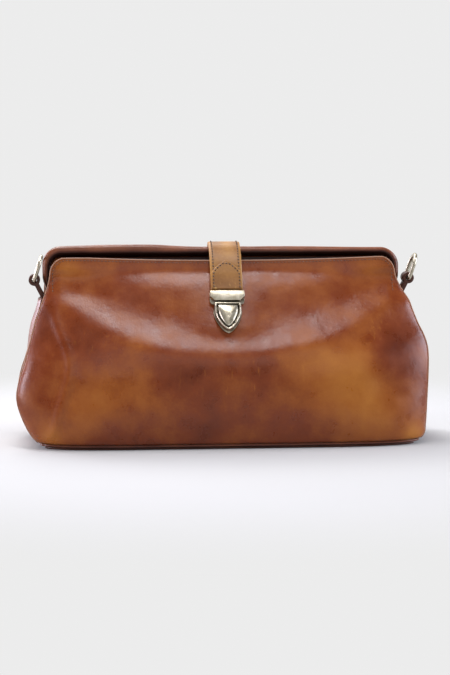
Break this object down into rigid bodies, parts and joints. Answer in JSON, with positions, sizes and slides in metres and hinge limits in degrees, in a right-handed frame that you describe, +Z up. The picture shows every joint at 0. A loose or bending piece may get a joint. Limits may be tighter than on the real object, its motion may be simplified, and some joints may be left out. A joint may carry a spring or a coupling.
{
  "type": "sling bag",
  "caption": "Leather sling bag with a hinged frame mouth, a centre strap that closes on a push lock, and side rings for a sling strap.",
  "frame": {"origin": "under the middle of the bag, on the surface it stands on", "axes": "+X to the bag's right side as seen from the front, -Y out of the front, +Z up"},
  "size_m": [0.2789, 0.1002, 0.136],
  "materials": {
    "body_leather": "burnished cognac, soft sheen",
    "edge_leather": "dark brown, cut and dyed edge",
    "strap_tan": "lighter tan, satin",
    "lining_cloth": "plain weave, matt",
    "fibre_board": "grey fibre board, matt",
    "antique_brass": "pale antique brass, brushed",
    "frame_steel": "plain steel"
  },
  "bodies": {
    "bag_body": {"base_panel": "edge_leather", "base_board": "fibre_board", "base_welt": "edge_leather", "front_panel": "body_leather", "back_panel": "body_leather", "left_gusset": "body_leather", "right_gusset": "body_leather", "front_fold": "body_leather", "back_fold": "body_leather", "lining": "lining_cloth", "hinge_rivet_left": "frame_steel", "hinge_rivet_right": "frame_steel", "hinge_washer_left": "frame_steel", "hinge_washer_right": "frame_steel", "left_ring_tab": "edge_leather", "right_ring_tab": "edge_leather", "lock_base_plate": "antique_brass", "lock_case": "antique_brass", "lock_back_plate": "frame_steel", "lock_rivet_left": "frame_steel", "lock_rivet_right": "frame_steel", "lock_spring": "frame_steel"},
    "front_jaw": {"front_frame": "frame_steel", "front_jaw_leather": "body_leather", "front_facing": "strap_tan"},
    "back_jaw": {"back_frame": "frame_steel", "back_rim_cover": "body_leather", "back_jaw_leather": "body_leather", "back_facing": "strap_tan", "strap_tail": "strap_tan"},
    "strap_bend": {"strap_bend_leather": "strap_tan"},
    "strap": {"strap_leather": "strap_tan", "strap_backing": "edge_leather", "strap_overlay": "strap_tan", "hasp_cap": "antique_brass", "hasp_back_plate": "antique_brass", "hasp_staple": "antique_brass", "hasp_rivet_left": "frame_steel", "hasp_rivet_right": "frame_steel"},
    "lock_press": {"lock_button": "antique_brass"},
    "lock_latch": {"lock_bolt": "frame_steel"},
    "left_ring": {"left_ring": "antique_brass"},
    "right_ring": {"right_ring": "antique_brass"}
  },
  "joints": [
    {"name": "front_jaw_hinge", "type": "hinge", "parent": "bag_body", "child": "front_jaw", "pos_m": [0.001, 0, 0.1], "axis": [1, 0, 0], "range_deg": [0, 45], "deforming": ["front_fold"]},
    {"name": "back_jaw_hinge", "type": "hinge", "parent": "bag_body", "child": "back_jaw", "pos_m": [0.001, 0, 0.1], "axis": [1, 0, 0], "range_deg": [-45, 0], "deforming": ["back_fold"]},
    {"name": "strap_rear_bend", "type": "hinge", "parent": "back_jaw", "child": "strap_bend", "pos_m": [0.002, 0.01346, 0.12751], "axis": [-1, 0, 0], "range_deg": [0, 90]},
    {"name": "strap_lift", "type": "hinge", "parent": "strap_bend", "child": "strap", "pos_m": [0.002, -0.00088, 0.13495], "axis": [-1, 0, 0], "range_deg": [0, 110]},
    {"name": "lock_button_press", "type": "slide", "parent": "bag_body", "child": "lock_press", "axis": [0, 0.8462, -0.5329], "range_m": [0, 0.001], "stiffness_N_per_m": 600, "springref_m": -0.002, "deforming": ["lock_spring"]},
    {"name": "lock_bolt_slide", "type": "slide", "parent": "bag_body", "child": "lock_latch", "axis": [0, -0.5329, -0.8462], "range_m": [0, 0.001]},
    {"name": "left_ring_swing", "type": "hinge", "parent": "bag_body", "child": "left_ring", "pos_m": [-0.1273, 0, 0.1108], "axis": [0, 1, 0], "range_deg": [-177, 0]},
    {"name": "right_ring_swing", "type": "hinge", "parent": "bag_body", "child": "right_ring", "pos_m": [0.1293, 0, 0.1108], "axis": [0, 1, 0], "range_deg": [-25, 140]}
  ],
  "couplings": [
    {"joint": "back_jaw_hinge", "follows": "front_jaw_hinge", "ratio": -1},
    {"joint": "strap_rear_bend", "follows": "front_jaw_hinge", "ratio": 2},
    {"joint": "lock_bolt_slide", "follows": "lock_button_press", "ratio": 1}
  ]
}
